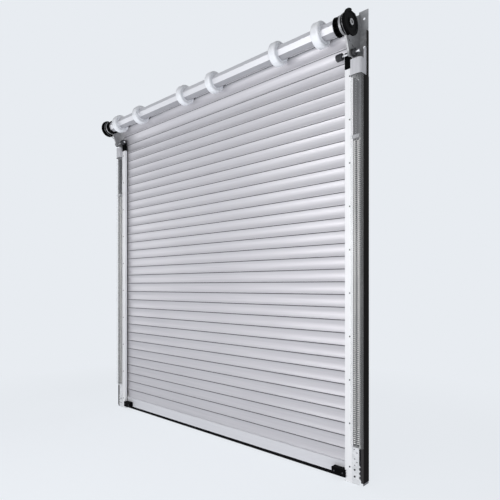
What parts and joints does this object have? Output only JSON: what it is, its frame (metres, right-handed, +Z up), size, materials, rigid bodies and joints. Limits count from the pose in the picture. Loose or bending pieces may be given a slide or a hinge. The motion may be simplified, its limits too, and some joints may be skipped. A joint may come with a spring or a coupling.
{
  "type": "exterior roller shutter",
  "caption": "Spring-balanced roll-up shutter for a doorway: slatted curtain in guide rails, octagonal shaft with winding rings and rope drums on wall consoles.",
  "frame": {"origin": "bottom centre of the whole shutter's box, on the floor", "axes": "+Z up along the guides, +Y towards the wall that it is fixed to, -Y towards the room, +X to the right seen from the room"},
  "size_m": [1.876, 0.177, 1.985],
  "materials": {
    "slat_metal": "satin light grey paint",
    "rail_metal": "satin light grey paint",
    "white_metal": "white paint",
    "grey_metal": "grey paint",
    "black_metal": "black paint",
    "zinc_steel": "zinc plated",
    "bright_steel": "bright",
    "tube_steel": "galvanised",
    "spring_steel": "bright wire",
    "wire_rope": "stranded",
    "black_plastic": "moulded",
    "white_plastic": "moulded",
    "clear_plastic": "clear",
    "rubber": "matt black"
  },
  "bodies": {
    "frame": {"guide_rail_right": "white_metal", "guide_rail_left": "white_metal", "slide_liner_right": "black_plastic", "slide_liner_left": "black_plastic", "side_cover_right": "black_metal", "side_cover_left": "black_metal", "spring_channel_right": "grey_metal", "spring_channel_left": "grey_metal", "spring_cover_right": "clear_plastic", "spring_cover_left": "clear_plastic", "anchor_plate_right": "zinc_steel", "anchor_plate_left": "zinc_steel", "upper_housing_right": "grey_metal", "upper_housing_left": "grey_metal", "console_right": "zinc_steel", "console_left": "zinc_steel", "shaft_bearing_right": "black_plastic", "shaft_bearing_left": "black_plastic", "roller_axle_right": "bright_steel", "roller_axle_left": "bright_steel", "inlet_block_right": "black_plastic", "inlet_block_left": "black_plastic", "rope_right": "wire_rope", "rope_left": "wire_rope", "spring_right": "spring_steel", "spring_left": "spring_steel", "rail_screws": "bright_steel", "anchor_bolts": "bright_steel", "bearing_screws": "bright_steel"},
    "curtain": {"slat_band_1": "slat_metal", "slat_band_2": "slat_metal", "slat_band_3": "slat_metal", "slat_band_4": "slat_metal", "slat_band_5": "slat_metal", "slat_band_6": "slat_metal", "bottom_rail": "rail_metal", "bottom_seal": "rubber", "end_block_right": "black_plastic", "end_block_left": "black_plastic", "end_block_screws": "bright_steel", "hanger_straps": "black_plastic"},
    "shaft": {"octagonal_tube": "tube_steel", "winding_ring_1": "white_plastic", "winding_ring_2": "white_plastic", "winding_ring_3": "white_plastic", "winding_ring_4": "white_plastic", "winding_ring_5": "white_plastic", "winding_ring_6": "white_plastic", "end_hub_right": "black_plastic", "end_hub_left": "black_plastic", "axle_stub_right": "bright_steel", "axle_stub_left": "bright_steel", "rope_drum_right": "black_plastic", "rope_drum_left": "black_plastic"},
    "spring_head_right": {"spring_head_right": "zinc_steel"},
    "rope_pulley_right": {"rope_pulley_right": "black_plastic"},
    "inlet_roller_right": {"inlet_roller_right": "black_plastic"},
    "spring_head_left": {"spring_head_left": "zinc_steel"},
    "rope_pulley_left": {"rope_pulley_left": "black_plastic"},
    "inlet_roller_left": {"inlet_roller_left": "black_plastic"}
  },
  "joints": [
    {"name": "curtain_lift", "type": "slide", "parent": "frame", "child": "curtain", "axis": [0, 0, 1], "range_m": [0, 1.66]},
    {"name": "shaft_turn", "type": "hinge", "parent": "frame", "child": "shaft", "pos_m": [0, -0.0355, 1.882], "axis": [1, 0, 0], "range_deg": [0, 1275]},
    {"name": "spring_head_right_slide", "type": "slide", "parent": "frame", "child": "spring_head_right", "axis": [0, 0, -1], "range_m": [0, 0.47], "deforming": ["spring_right"]},
    {"name": "rope_pulley_right_turn", "type": "hinge", "parent": "frame", "child": "rope_pulley_right", "pos_m": [0.9079, 0.0205, 1.788], "axis": [1, 0, 0], "range_deg": [-3890, 0]},
    {"name": "inlet_roller_right_turn", "type": "hinge", "parent": "frame", "child": "inlet_roller_right", "pos_m": [0.84, 0.0205, 1.788], "axis": [1, 0, 0], "continuous": true},
    {"name": "spring_head_left_slide", "type": "slide", "parent": "frame", "child": "spring_head_left", "axis": [0, 0, -1], "range_m": [0, 0.47], "deforming": ["spring_left"]},
    {"name": "rope_pulley_left_turn", "type": "hinge", "parent": "frame", "child": "rope_pulley_left", "pos_m": [-0.9079, 0.0205, 1.788], "axis": [1, 0, 0], "range_deg": [-3890, 0]},
    {"name": "inlet_roller_left_turn", "type": "hinge", "parent": "frame", "child": "inlet_roller_left", "pos_m": [-0.84, 0.0205, 1.788], "axis": [1, 0, 0], "continuous": true}
  ],
  "couplings": [
    {"joint": "shaft_turn", "follows": "curtain_lift", "rad_per_m": 13.333},
    {"joint": "spring_head_right_slide", "follows": "curtain_lift", "ratio": 0.27867},
    {"joint": "rope_pulley_right_turn", "follows": "curtain_lift", "rad_per_m": -40.386},
    {"joint": "spring_head_left_slide", "follows": "curtain_lift", "ratio": 0.27867},
    {"joint": "rope_pulley_left_turn", "follows": "curtain_lift", "rad_per_m": -40.386}
  ]
}
